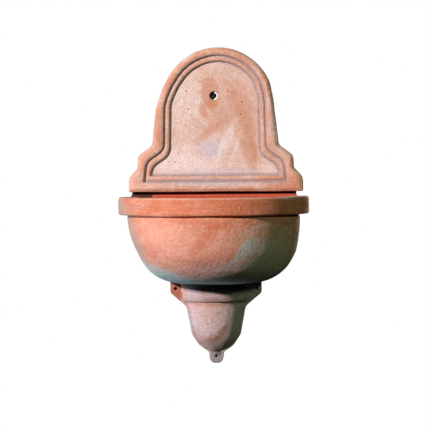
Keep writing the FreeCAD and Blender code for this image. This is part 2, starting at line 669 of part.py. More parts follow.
def make_inlet_elbow():
    """A plastic elbow: a wide nose in the spout hole, an oval plate, and a barbed tail for a hose."""
    plate = oval("elbow_plate", "dims.elbow_plate_thickness", PLATE_BACK)
    plate_place = ("0", f"-({PLATE_BACK})", "0")
    tail_place = ("0", "-dims.tail_axis", "-dims.tail_length")
    nose_length = f"{NOSE_TIP} - ({PLATE_BACK})"
    nose = rod("elbow_nose_tube", "dims.elbow_nose", nose_length, plate_place, FORWARD)
    barrel = rod("elbow_barrel_tube", "dims.elbow_barrel", f"{PLATE_BACK} - dims.elbow_wall_gap",
                 ("0", "-dims.elbow_wall_gap", "0"), FORWARD)
    tail = rod("elbow_tail", "dims.tail_tube", "dims.tail_length", tail_place)
    solids = [plate, nose, barrel, tail]
    for i in range(BARBS):
        sizes = {
            "Radius1": "dims.tail_tube / 2",
            "Radius2": "dims.tail_barb / 2",
            "Height": "dims.barb_length",
        }
        place = ("0", "-dims.tail_axis", f"{i} * dims.barb_pitch - dims.tail_length")
        solids.append(primitive("Cone", f"elbow_barb_{i}", sizes, place))
    closed = "dims.elbow_wall_gap + dims.elbow_end_wall"
    mouth = rod("elbow_mouth_bore", "dims.elbow_mouth", nose_length, plate_place, FORWARD)
    throat = rod("elbow_throat_bore", "dims.elbow_throat", f"{PLATE_BACK} - ({closed})",
                 ("0", f"-({closed})", "0"), FORWARD)
    drop = rod("elbow_tail_bore", "dims.tail_bore", "dims.tail_length", tail_place)
    screws = screw_rods("elbow", SCREW_CLEARANCE, "dims.elbow_plate_thickness", PLATE_BACK)
    return bored("inlet_elbow", joined("elbow_body", solids), [mouth, throat, drop, *screws], z=SPOUT)


def make_inlet_gasket():
    plate = oval("gasket_pad", "dims.gasket_thickness", GASKET_BACK)
    hole = rod("gasket_middle_bore", "dims.gasket_hole", "dims.gasket_thickness",
               ("0", f"-({GASKET_BACK})", "0"), FORWARD)
    screws = screw_rods("gasket", SCREW_CLEARANCE, "dims.gasket_thickness", GASKET_BACK)
    return bored("inlet_gasket", plate, [hole, *screws], z=SPOUT)


def make_inlet_plugs():
    solids = screw_rods("plug_body", "dims.plug_diameter", "dims.plug_length", "dims.hollow_depth")
    bores = screw_rods("plug", "dims.inlet_screw_shank", "dims.plug_length", "dims.hollow_depth")
    return bored("inlet_plugs", joined("plug_pair", solids), bores, z=SPOUT)


def make_inlet_screws():
    """Two pan-head screws whose heads bear on the elbow's plate from behind."""
    shanks = screw_rods("shank", "dims.inlet_screw_shank", "dims.inlet_screw_length", PLATE_BACK)
    heads = screw_rods("head", "dims.inlet_screw_head", "dims.inlet_head_height",
                        f"{PLATE_BACK} - dims.inlet_head_height")
    slots = []
    sizes = {
        "Length": "dims.inlet_screw_head",
        "Width": "dims.inlet_head_height / 2",
        "Height": "dims.screw_slot",
    }
    for side, sign in (("left", "-"), ("right", "")):
        place = (f"{sign}dims.plug_spacing / 2 - dims.inlet_screw_head / 2",
                 f"-({PLATE_BACK}) + dims.inlet_head_height / 2", "-dims.screw_slot / 2")
        slots.append(primitive("Box", f"{side}_screw_slot", sizes, place))
    return bored("inlet_screws", joined("screw_pair", shanks + heads), slots, z=SPOUT)


def make_waste_body():
    """The waste: a flange on the basin's floor and a tube down into the bracket."""
    length = f"{BASIN_FLOOR} + dims.washer_thickness + dims.waste_flange_height + dims.waste_tail_low"
    tube = rod("waste_tube_outer", "dims.waste_tube", length)
    flange = rod("waste_flange_disc", "dims.waste_flange", "dims.waste_flange_height",
                 ("0", "0", f"{length} - dims.waste_flange_height"))
    bore = rod("waste_tube_bore", "dims.waste_bore", length)
    return bored("waste_body", joined("waste_solid", [tube, flange]), [bore], y="-dims.drain_offset",
                 z="-dims.waste_tail_low")


def make_waste_nut():
    sizes = {"Polygon": "6", "Circumradius": "dims.nut_flats / sqrt(3)", "Height": "dims.nut_height"}
    hexagon = primitive("Prism", "nut_hexagon", sizes)
    hole = rod("nut_hole", "dims.waste_tube", "dims.nut_height")
    return bored("waste_nut", hexagon, [hole], y="-dims.drain_offset",
                 z=f"{BASIN_BASE} - dims.washer_thickness - dims.nut_height")


def make_standpipe():
    """The overflow pipe: its height sets the water level, and lifting it out drains the basin."""
    collar_base = "dims.spigot_length"
    length = f"{RIM_TOP} - dims.water_drop - ({SEAL_TOP}) + {collar_base}"
    spigot = rod("standpipe_spigot", "dims.spigot_diameter", collar_base)
    collar = rod("standpipe_collar", "dims.seal_outer", "dims.collar_height", ("0", "0", collar_base))
    pipe = rod("standpipe_tube", "dims.pipe_diameter", f"{length} - {collar_base}", ("0", "0", collar_base))
    lower = rod("standpipe_spigot_bore", "dims.spigot_bore", f"{collar_base} + dims.collar_height")
    upper = rod("standpipe_bore", "dims.pipe_bore", f"{length} - {collar_base} - dims.collar_height",
                ("0", "0", f"{collar_base} + dims.collar_height"))
    return bored("standpipe", joined("standpipe_solid", [spigot, collar, pipe]), [lower, upper],
                 y="-dims.drain_offset", z=f"{SEAL_TOP} - {collar_base}")


def make_waste_rings():
    """The waste's two rubber washers and the seal under the standpipe's collar."""
    washer = "dims.washer_thickness"
    return [
        ring("waste_top_washer", "dims.waste_flange", "dims.washer_hole", washer, BASIN_FLOOR),
        ring("waste_bottom_washer", "dims.under_washer", "dims.washer_hole", washer,
             f"{BASIN_BASE} - {washer}"),
        ring("standpipe_seal", "dims.seal_outer", "dims.waste_bore", washer, f"{SEAL_TOP} - {washer}"),
    ]


pieces = [
    make_panel(),
    make_basin(),
    make_bracket(),
    make_inlet_elbow(),
    make_inlet_gasket(),
    make_inlet_plugs(),
    make_inlet_screws(),
    make_waste_body(),
    make_waste_nut(),
    make_standpipe(),
    *make_waste_rings(),
]
doc.recompute()

for thing in doc.Objects:
    if "Invalid" in thing.State or "Error" in thing.State:
        raise RuntimeError(f"{thing.Label} is not sound: {thing.State}")
for piece in pieces:
    if piece.Shape.isNull() or not piece.Shape.isValid():
        raise RuntimeError(f"{piece.Label} has no valid shape")

os.makedirs("parts", exist_ok=True)
for piece in pieces:
    piece.Shape.exportStep(f"parts/{piece.Label}.step")
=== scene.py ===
import json
import math

import bpy
import numpy as np
from mathutils import Matrix, Vector, kdtree, noise


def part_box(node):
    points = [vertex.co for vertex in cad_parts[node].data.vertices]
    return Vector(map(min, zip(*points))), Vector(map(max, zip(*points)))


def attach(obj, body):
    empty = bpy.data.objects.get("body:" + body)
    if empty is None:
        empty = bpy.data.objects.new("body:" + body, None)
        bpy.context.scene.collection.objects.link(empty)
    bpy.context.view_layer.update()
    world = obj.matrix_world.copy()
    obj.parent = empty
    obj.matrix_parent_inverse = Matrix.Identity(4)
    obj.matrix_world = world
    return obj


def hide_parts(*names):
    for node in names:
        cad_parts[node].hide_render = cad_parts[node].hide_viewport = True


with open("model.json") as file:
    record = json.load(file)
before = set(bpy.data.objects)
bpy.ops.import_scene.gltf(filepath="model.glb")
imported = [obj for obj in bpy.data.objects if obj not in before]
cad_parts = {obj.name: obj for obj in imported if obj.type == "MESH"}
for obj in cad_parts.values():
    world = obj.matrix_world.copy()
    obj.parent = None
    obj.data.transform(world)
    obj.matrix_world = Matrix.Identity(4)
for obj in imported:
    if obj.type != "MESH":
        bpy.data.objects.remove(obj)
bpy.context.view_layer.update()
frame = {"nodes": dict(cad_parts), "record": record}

MM = 0.001


def mount(name):
    """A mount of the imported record: its place in metres and its dims in millimetres."""
    return next(entry for entry in frame["record"]["mounts"] if entry["name"] == name)


# What the CAD says: the spout's place, the panel's foot, and the panel's levels as distances from the wall.
SPOUT = Vector(mount("spout_socket")["pos_m"])
PANEL_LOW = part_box("panel")[0]
PANEL_FOOT = PANEL_LOW.z
OUTER_BAND = -PANEL_LOW.y
INNER_BAND = OUTER_BAND - 6.5 * MM
FIELD = INNER_BAND - 5.5 * MM

# The joint between the panel's foot and the basin's ledge is cut back from this height up, and painted
# shade darkens it into a dark gap.
GAP_TOP = PANEL_FOOT - 5 * MM

# The photograph's camera: far off, a little above the rim and a little to the right. The sensor is in
# millimetres, and the focal length in pixels of the photograph.
IMAGE_SIDE = 430
SENSOR = 36.0
FOCAL_PIXELS = 2070
CAMERA_PLACE = Vector((0.314, -6.0, 0.380))
CAMERA_AIM = Vector((-0.0014, 0.0, 0.2129))
CAMERA_ROLL = math.radians(-0.5)
CAMERA_SIGHT = 100

# Each lamp: bearing from straight ahead of the fountain (left is negative) and height in degrees,
# distance and size in metres, the light it throws on a surface that faces it, and its colour.
LAMP_AIM = Vector((0.0, -0.2, 0.25))
LAMPS = {
    "key": (-42, 18.5, 5.0, 0.35, 1.37, (1.0, 0.94, 0.87)),
    "right_fill": (48, 22, 3.0, 0.5, 0.20, (0.62, 1.0, 0.58)),
    "low_fill": (-118, -28, 1.8, 0.5, 0.50, (0.72, 0.92, 1.0)),
    "back_light": (165, 5, 3.0, 1.0, 0.85, (1.0, 1.0, 1.0)),
}
AMBIENT = 0.004
AMBIENT_COLOUR = (0.8, 1.0, 0.95, 1)
BACKDROP_COLOUR = (1, 1, 1, 1)


def collect(thing):
    bpy.context.scene.collection.objects.link(thing)
    return thing


# The camera and the lights.


def camera_turn():
    look = (CAMERA_AIM - CAMERA_PLACE).to_track_quat("-Z", "Y").to_matrix()
    return look @ Matrix.Rotation(CAMERA_ROLL, 3, "Z")


def make_camera():
    data = bpy.data.cameras.new("camera")
    data.sensor_width = SENSOR
    data.lens = FOCAL_PIXELS * SENSOR / IMAGE_SIDE
    data.clip_end = CAMERA_SIGHT
    camera = collect(bpy.data.objects.new("camera", data))
    camera.location = CAMERA_PLACE
    camera.rotation_euler = camera_turn().to_euler()
    bpy.context.scene.camera = camera


def on_photo(column, row, stand):
    """The place that a pixel of the photograph shows, at a given distance from the wall."""
    half = IMAGE_SIDE / 2
    ray = camera_turn() @ Vector(((column - half) / FOCAL_PIXELS, (half - row) / FOCAL_PIXELS, -1))
    return CAMERA_PLACE + ray * ((-stand - CAMERA_PLACE.y) / ray.y)


def make_lamps():
    for name, (bearing, height, distance, size, light, colour) in LAMPS.items():
        side, up = math.radians(bearing), math.radians(height)
        way = Vector((math.sin(side) * math.cos(up), -math.cos(side) * math.cos(up), math.sin(up)))
        data = bpy.data.lights.new(name, "AREA")
        data.shape = "DISK"
        data.size = size
        data.energy = light * (math.pi * distance) ** 2
        data.color = colour
        lamp = collect(bpy.data.objects.new(name, data))
        lamp.location = LAMP_AIM + way * distance
        lamp.rotation_euler = (-way).to_track_quat("-Z", "Y").to_euler()
        lamp.visible_camera = False


def make_world():
    """A white backdrop that throws next to no light of its own."""
    world = bpy.data.worlds.new("studio")
    bpy.context.scene.world = world
    world.use_nodes = True
    nodes, links = world.node_tree.nodes, world.node_tree.links
    nodes.clear()
    out = nodes.new("ShaderNodeOutputWorld")
    choose = nodes.new("ShaderNodeMixShader")
    path = nodes.new("ShaderNodeLightPath")
    ambient = nodes.new("ShaderNodeBackground")
    ambient.inputs["Color"].default_value = AMBIENT_COLOUR
    ambient.inputs["Strength"].default_value = AMBIENT
    backdrop = nodes.new("ShaderNodeBackground")
    backdrop.inputs["Color"].default_value = BACKDROP_COLOUR
    links.new(path.outputs["Is Camera Ray"], choose.inputs[0])
    links.new(ambient.outputs[0], choose.inputs[1])
    links.new(backdrop.outputs[0], choose.inputs[2])
    links.new(choose.outputs[0], out.inputs[0])
    bpy.context.scene.view_settings.view_transform = "Standard"


# Paint: materials built up in coats from nodes.


def rgb(red, green, blue):
    """A colour given in the 0 to 255 steps of a screen."""
    def linear(step):
        share = step / 255
        return share / 12.92 if share <= 0.04045 else ((share + 0.055) / 1.055) ** 2.4
    return linear(red), linear(green), linear(blue), 1.0


class Paint:
    """One material, painted coat over coat. Places and sizes are metres in the fountain's frame."""

    # How far one step of a material's seed moves its noise, so that no two pieces look alike.
    SEED_STEP = (1.0, 0.7, 1.9)
    # A spot is full out to this share of its radius.
    SPOT_CORE = 0.4
    # The rag on a patch's edge: its size beside the patch's own, and the low, high, detail and crispness
    # of the noise that makes it.
    RAG_SIZE = 0.8
    RAG = (0.2, 0.8, 5, 0.6)
    # The detail and crispness of brush strokes.
    BRISTLES = (3, 0.55)

    def __init__(self, name, ground, roughness, seed=0.0, gloss=0.2, metallic=0.0):
        self.material = bpy.data.materials.new(name)
        self.material.use_nodes = True
        tree = self.material.node_tree
        self.nodes, self.links = tree.nodes, tree.links
        self.shader = self.nodes["Principled BSDF"]
        self.shader.inputs["Roughness"].default_value = roughness
        self.shader.inputs["Specular IOR Level"].default_value = gloss
        self.shader.inputs["Metallic"].default_value = metallic
        self.seed = seed
        self.here = self.node("TexCoord").outputs["Object"]
        split = self.node("SeparateXYZ")
        self.links.new(self.here, split.inputs[0])
        self.across, self.depth, self.height = split.outputs
        self.colour = ground

    def node(self, kind, **settings):
        made = self.nodes.new("ShaderNode" + kind)
        for setting, value in settings.items():
            setattr(made, setting, value)
        return made

    def feed(self, socket, value):
        """Link another node's output to a socket, or set a plain number or colour on it."""
        if isinstance(value, bpy.types.NodeSocket):
            self.links.new(value, socket)
        else:
            socket.default_value = value

    def maths(self, operation, first, second=0.0):
        """A sum done by a node on numbers or on other nodes' outputs."""
        made = self.node("Math", operation=operation)
        self.feed(made.inputs[0], first)
        self.feed(made.inputs[1], second)
        return made.outputs[0]

    def times(self, first, *others):
        for other in others:
            first = self.maths("MULTIPLY", first, other)
        return first

    def rise(self, value, low, high):
        """0 up to low and 1 from high on, with a smooth step between. High may be the lower one."""
        made = self.node("MapRange", interpolation_type="SMOOTHSTEP")
        self.feed(made.inputs["Value"], value)
        made.inputs["From Min"].default_value = low
        made.inputs["From Max"].default_value = high
        return made.outputs["Result"]

    def seen_from(self, stretch=(1, 1, 1), turn=0.0, shift=0.0):
        """The place, turned about the axis that points at the wall, stretched, and moved by the seed."""
        turned = self.node("Mapping", vector_type="POINT")
        turned.inputs["Rotation"].default_value = (0, math.radians(turn), 0)
        self.links.new(self.here, turned.inputs["Vector"])
        made = self.node("Mapping", vector_type="POINT")
        made.inputs["Scale"].default_value = [1 / share for share in stretch]
        x, y, z = (self.seed * step for step in self.SEED_STEP)
        made.inputs["Location"].default_value = (x + shift, y + shift, z)
        self.links.new(turned.outputs[0], made.inputs["Vector"])
        return made.outputs[0]

    def noise_over(self, places, size, low, high, detail, crisp):
        """Noise of a size over a map of places, in a soft step from low to high."""
        cloud = self.node("TexNoise")
        cloud.inputs["Scale"].default_value = 1 / size
        cloud.inputs["Detail"].default_value = detail
        cloud.inputs["Roughness"].default_value = crisp
        self.links.new(places, cloud.inputs["Vector"])
        return self.rise(cloud.outputs["Fac"], low, high)

    def clouds(self, size, low, high, detail=3, crisp=0.5, stretch=(1, 1, 1), turn=0.0, shift=0.0):
        """Soft patches of a size, from 0 to 1. Low and high set how much of the ground they take."""
        return self.noise_over(self.seen_from(stretch, turn, shift), size, low, high, detail, crisp)

    def brushed(self, size, low, high):
        """Streaks that follow the brush: noise over the strokes' own map, kept on the mesh."""
        strokes = self.node("Attribute", attribute_name="strokes")
        return self.noise_over(strokes.outputs["Vector"], size, low, high, *self.BRISTLES)

    def marked(self, attribute):
        """How strongly the modelling marked a place, kept on the mesh."""
        return self.node("Attribute", attribute_name=attribute).outputs["Fac"]

    def less(self, amount):
        """What an amount leaves of the whole."""
        return self.maths("SUBTRACT", 1.0, amount)

    def spots(self, spacing, radius, share, shift=0.0):
        """Round spots, one in each cell of a loose net, in a share of the cells."""
        cells = self.node("TexVoronoi")
        cells.inputs["Scale"].default_value = 1 / spacing
        self.links.new(self.seen_from(shift=shift), cells.inputs["Vector"])
        chance = self.node("SeparateColor")
        self.links.new(cells.outputs["Color"], chance.inputs[0])
        chosen = self.maths("LESS_THAN", chance.outputs[0], share)
        edge = radius / spacing
        return self.times(self.rise(cells.outputs["Distance"], edge, edge * self.SPOT_CORE), chosen)

    def patch(self, centre, reach, soft, ragged, turn=0.0):
        """An oval with a ragged edge: 1 in its middle and 0 outside."""
        oval = self.node("Mapping", vector_type="TEXTURE")
        oval.inputs["Location"].default_value = centre
        oval.inputs["Rotation"].default_value = (0, math.radians(turn), 0)
        oval.inputs["Scale"].default_value = reach
        self.links.new(self.here, oval.inputs["Vector"])
        length = self.node("VectorMath", operation="LENGTH")
        self.links.new(oval.outputs[0], length.inputs[0])
        rag = self.times(self.clouds(min(reach[0], reach[2]) * self.RAG_SIZE, *self.RAG), ragged)
        away = self.maths("ADD", length.outputs["Value"], rag)
        middle = 1 + ragged / 2
        return self.rise(away, middle + soft, middle - soft)

    def dab(self, place, reach, turn, amount, colour, soft, ragged, where=None):
        """One touch of the brush: a ragged oval of colour, perhaps only where a mark allows."""
        touch = self.patch(place, reach, soft, ragged, turn)
        self.coat(self.times(touch, where) if where else touch, colour, amount)

    def coat(self, where, colour, amount=1.0, way="MIX"):
        """Lay a colour over what is there, where a mark says and as thick as the amount says."""
        mix = self.node("Mix", data_type="RGBA", blend_type=way)
        sockets = {socket.name: socket for socket in mix.inputs if socket.enabled}
        self.feed(sockets["Factor"], self.times(where, amount))
        self.feed(sockets["A"], self.colour)
        self.feed(sockets["B"], colour)
        self.colour = next(socket for socket in mix.outputs if socket.enabled)

    def shade(self, where, colour, amount=1.0):
        """Darken what is there by a colour."""
        self.coat(where, colour, amount, "MULTIPLY")

    def bumps(self, *heights):
        """Relief, from pairs of a height from 0 to 1 and its depth."""
        normal = None
        for height, depth in heights:
            bump = self.node("Bump")
            bump.inputs["Distance"].default_value = depth
            self.feed(bump.inputs["Height"], height)
            if normal:
                self.links.new(normal, bump.inputs["Normal"])
            normal = bump.outputs[0]
        self.links.new(normal, self.shader.inputs["Normal"])

    def finish(self):
        self.feed(self.shader.inputs["Base Color"], self.colour)
        return self.material


def dress(piece, material):
    piece.data.materials.clear()
    piece.data.materials.append(material)


SPECK = rgb(92, 58, 44)
PIT_SHADE = rgb(40, 26, 20)
GRAIN_SHADE = rgb(196, 170, 158)
COARSE_SHADE = rgb(220, 184, 166)
COARSE_GRAIN = 12 * MM
DENT_DEPTH = 0.8 * MM
GRAIN_DEPTH = 0.4 * MM
PIT_DEPTH = 1.2 * MM


def clay_grit(paint, strength=1.0):
    """What all the fired clay shares: fine grain, specks of grog, pits with painted shade in them, and
    their relief.
    """
    grain = paint.clouds(3.4 * MM, 0.40, 0.60, 2, 0.7)
    coarse = paint.clouds(COARSE_GRAIN, 0.36, 0.64, 4, 0.7, shift=4)
    specks = paint.spots(7.5 * MM, 1.2 * MM, 0.45)
    freckles = paint.spots(17 * MM, 2.3 * MM, 0.22, shift=7)
    pits = paint.spots(34 * MM, 2.1 * MM, 0.28, shift=11)
    paint.shade(grain, GRAIN_SHADE, 0.5 * strength)
    paint.shade(coarse, COARSE_SHADE, 0.22 * strength)
    paint.coat(specks, SPECK, 0.62)
    paint.coat(freckles, SPECK, 0.55)
    # Painted shade in the pits.
    paint.coat(pits, PIT_SHADE, 0.85)
    dents = paint.clouds(COARSE_GRAIN, 0.25, 0.75, 4, 0.6, shift=2)
    paint.bumps((dents, DENT_DEPTH), (grain, GRAIN_DEPTH), (pits, -PIT_DEPTH))


def lay_dabs(paint, dabs, through, ragged):
    """Lay touches that each stand at their own distance from the wall and go this far through the clay."""
    for column, row, stand, length, width, turn, amount, soft, colour in dabs:
        place = on_photo(column, row, stand * MM)
        paint.dab(place, (length * MM, through, width * MM), turn, amount, colour, soft, ragged)


PANEL_ORANGE = rgb(234, 182, 164)
PANEL_PINK = rgb(236, 200, 198)
PANEL_LIME = rgb(252, 238, 244)
PANEL_BURNT = rgb(214, 146, 118)
PANEL_RUST = rgb(220, 134, 100)
PANEL_LILAC = rgb(212, 202, 224)
PANEL_GROOVE_SHADE = rgb(176, 166, 146)

# The brush's touches on the field: column and row in the photograph, half length and half
# width in millimetres, turn in degrees (negative rises to the right), thickness, softness and colour.
FIELD_DABS = (
    (184, 98, 60, 42, 90, 0.40, 0.6, PANEL_LIME),
    (172, 160, 105, 45, 0, 0.50, 0.6, PANEL_LIME),
    (240, 100, 80, 34, 66, 0.50, 0.7, PANEL_BURNT),
    (250, 142, 72, 20, 76, 0.55, 0.6, PANEL_BURNT),
    (253, 152, 50, 11, 84, 0.45, 0.4, PANEL_BURNT),
    (242, 146, 66, 8, 70, 0.35, 0.5, PANEL_BURNT),
    (211, 130, 52, 12, -36, 0.50, 0.5, PANEL_BURNT),
    (228, 114, 70, 46, 0, 0.35, 0.7, PANEL_BURNT),
    (211, 149, 36, 26, -20, 0.65, 0.7, PANEL_LILAC),
    (225, 144, 68, 12, -65, 0.55, 0.45, PANEL_LIME),
    (235, 150, 52, 6, -70, 0.35, 0.45, PANEL_LIME),
    (216, 171, 130, 8, 0, 0.50, 0.6, PANEL_LILAC),
    (268, 169, 34, 12, 20, 0.45, 0.6, PANEL_LIME),
    (210, 93, 48, 27, 82, 0.60, 0.2, PANEL_BURNT),
    (203, 111, 20, 10, 70, 0.50, 0.4, PANEL_RUST),
    (212, 104, 20, 12, 10, 0.40, 0.5, PANEL_RUST),
    (186, 165, 80, 20, 0, 0.35, 0.7, PANEL_LIME),
)

# Touches on the bands, which lie level: column, row, half length, half width, thickness and colour.
BAND_DABS = (
    (287, 183, 56, 30, 0.80, PANEL_BURNT),
    (157, 128, 14, 60, 0.55, PANEL_BURNT),
    (212, 184, 150, 8, 0.55, PANEL_LILAC),
    (205, 180, 110, 5, 0.40, PANEL_LILAC),
    (275, 120, 14, 90, 0.30, PANEL_LILAC),
    (139, 184, 36, 22, 0.15, PANEL_LIME),
    (168, 78, 20, 40, 0.30, PANEL_RUST),
)

# The single deep pits in the field that stand out, with painted shade in them: column and row in the
# photograph.
FIELD_PITS = (
    (186, 91), (188, 109), (228, 91), (232, 92), (242, 102),
    (241, 114), (258, 112), (178, 153), (169, 162), (175, 162),
)
FIELD_PIT_RADIUS = 1.8 * MM
BAND_STAND = 40 * MM

# How far a touch on the panel or the bracket goes through the clay: all the way.
RIGHT_THROUGH = 1.0


def paint_panel():
    """Pale clay, rubbed pink in the field with a brushed lime wash, and more orange on the bands."""
    paint = Paint("panel_terracotta", PANEL_ORANGE, 0.85, 1.0)
    in_field = paint.marked("field")
    on_bands = paint.less(in_field)
    paint.coat(in_field, PANEL_PINK, 0.9)
    strokes = paint.brushed(5 * MM, 0.35, 0.65)
    paint.coat(paint.times(strokes, on_bands), PANEL_RUST, 0.45)
    pale_strokes = paint.brushed(9 * MM, 0.5, 0.7)
    paint.coat(paint.times(pale_strokes, on_bands), PANEL_LIME, 0.4)
    blotches = paint.times(paint.clouds(16 * MM, 0.52, 0.66, 5, 0.65, shift=6), on_bands)
    paint.coat(blotches, PANEL_RUST, 0.45)
    paint.coat(paint.clouds(70 * MM, 0.35, 0.7, 5), PANEL_ORANGE, 0.35)
    paint.coat(paint.clouds(45 * MM, 0.45, 0.75, 5, shift=3), PANEL_LIME, 0.32)
    for size, amount, colour in ((7, 0.22, PANEL_BURNT), (11, 0.26, PANEL_LIME)):
        sweep = paint.times(paint.brushed(size * MM, 0.48, 0.66), in_field)
        paint.coat(sweep, colour, amount)
    streaks = paint.clouds(18 * MM, 0.46, 0.62, 4, 0.55, (5, 1, 1), -38)
    paint.coat(paint.times(streaks, in_field), PANEL_LIME, 0.24)
    for column, row, length, width, amount, colour in BAND_DABS:
        reach = (length * MM, RIGHT_THROUGH, width * MM)
        paint.dab(on_photo(column, row, BAND_STAND), reach, 0, amount, colour, 0.6, 0.7, on_bands)
    for column, row, length, width, turn, amount, soft, colour in FIELD_DABS:
        reach = (length * MM, RIGHT_THROUGH, width * MM)
        paint.dab(on_photo(column, row, FIELD), reach, turn, amount, colour, soft, 0.6, in_field)
    grooves = paint.marked("groove")
    paint.coat(grooves, PANEL_LILAC, 0.65)
    # Painted shade: the grooves darkened towards olive, as they are in shade.
    paint.shade(grooves, PANEL_GROOVE_SHADE, 0.5)
    clay_grit(paint, 0.75)
    # Painted shade in the field's deep pits.
    for column, row in FIELD_PITS:
        paint.dab(on_photo(column, row, FIELD), (FIELD_PIT_RADIUS,) * 3, 0, 1.0, PIT_SHADE, 0.35, 0.3)
    return paint.finish()


BASIN_RED = rgb(232, 150, 124)
BASIN_PINK = rgb(252, 184, 168)
BASIN_BROWN = rgb(198, 122, 92)
BASIN_RUST = rgb(226, 118, 84)
BASIN_BLOOM = rgb(184, 212, 224)
BASIN_LOW_GREY = rgb(196, 196, 196)
BASIN_PALE = rgb(216, 206, 216)
BASIN_INSIDE = rgb(206, 92, 72)
BASIN_SHADE = rgb(38, 34, 26)
BASIN_WORN_HIGHLIGHT = rgb(240, 200, 184)
BASIN_GREY_EDGE_LIGHT = rgb(188, 164, 158)
BASIN_GREEN_SHADE = rgb(186, 204, 188)

# The clean middle of the bowl's front: column, row and distance from the wall. Outside it the clay has
# bloomed. It goes right through, so it shows as an oval from the front.
CLEAN_MIDDLE = (215, 200, 150 * MM)
CLEAN_REACH = (305 * MM, 10, 229 * MM)

# Where the basin's paint changes: pairs of where a mark is nil and where it is full. These are heights.
BOWL_EDGE = (214 * MM, 206 * MM)
LOW_GREY_EDGE = (125 * MM, 40 * MM)
WORN_LIT_HEIGHT = (262 * MM, 266 * MM)
INSIDE_TOP = (225 * MM, 240 * MM)
GAP_SHADE = (GAP_TOP - 1.5 * MM, GAP_TOP + 0.5 * MM)
# These run across the basin.
RIM_BURN = (-20 * MM, 80 * MM)
BLOOM_FADE = (220 * MM, -30 * MM)
# Left of this, the cavity's back-left corner is painted in shade.
CORNER_SHADE_EDGE = (-178 * MM, -183 * MM)
# This one runs in from both of its ends.
INSIDE_END = (250 * MM, 243 * MM)
# These run along Y, which is less than 0 in front of the wall.
WORN_LIT_BACK = (-50 * MM, -56 * MM)
INSIDE_BACK = (-4 * MM, -9 * MM)
INSIDE_FRONT = (-60 * MM, -45 * MM)

# The brush's touches on the basin: column and row in the photograph, distance from the
# wall, half length and half width in millimetres, turn in degrees, thickness, softness and colour.
BASIN_DABS = (
    # The first three touches, and the pink one at column 180, are a painted highlight where the light falls
    # fullest on the bowl.
    (166, 238, 210, 85, 45, 20, 0.85, 0.6, BASIN_PINK),
    (200, 246, 250, 90, 40, 0, 0.60, 0.6, BASIN_PINK),
    (232, 240, 260, 66, 34, -20, 0.45, 0.6, BASIN_PINK),
    # These two grey touches are painted light: the bowl's left edge greyed where the low bluish light
    # grazes it.
    (131, 232, 120, 80, 24, 78, 0.70, 0.6, BASIN_GREY_EDGE_LIGHT),
    (140, 250, 140, 40, 14, 62, 0.60, 0.6, BASIN_GREY_EDGE_LIGHT),
    (204, 240, 255, 52, 15, -52, 0.40, 0.5, BASIN_RUST),
    (222, 226, 255, 46, 9, -6, 0.35, 0.5, BASIN_RUST),
    (236, 254, 240, 40, 10, -48, 0.40, 0.5, BASIN_RUST),
    (192, 263, 240, 66, 9, 8, 0.35, 0.5, BASIN_BROWN),
    (246, 249, 240, 34, 18, -46, 0.80, 0.45, BASIN_PALE),
    (250, 243, 240, 20, 12, -30, 0.45, 0.5, BASIN_PALE),
    # Painted highlight just below the rim.
    (180, 228, 220, 60, 12, -8, 0.30, 0.6, BASIN_PINK),
    (233, 262, 240, 34, 7, -30, 0.50, 0.5, BASIN_PALE),
    (254, 229, 230, 40, 7, -24, 0.35, 0.6, BASIN_PALE),
    (226, 269, 200, 80, 22, -6, 0.35, 0.7, BASIN_PALE),
    # This grey touch, and the one at column 138, are painted edge light on the rim's left end.
    (119, 207, 100, 34, 20, 90, 0.85, 0.5, BASIN_GREY_EDGE_LIGHT),
    # Painted shade: the bowl's shaded bottom tinted green.
    (234, 280, 150, 110, 15, 0, 0.60, 0.6, BASIN_GREEN_SHADE),
    (259, 250, 220, 44, 30, -40, 0.35, 0.7, BASIN_PALE),
    (138, 207, 160, 30, 9, 0, 0.35, 0.6, BASIN_GREY_EDGE_LIGHT),
    # Painted shade: the bowl's shaded right tinted green.
    (272, 256, 200, 90, 60, -40, 0.45, 0.7, BASIN_GREEN_SHADE),
    # Painted light: the cavity's right corner, which faces the lamp, paled.
    (290, 196, 60, 30, 8, 0, 0.75, 0.5, BASIN_PALE),
)
BASIN_THROUGH = 200 * MM


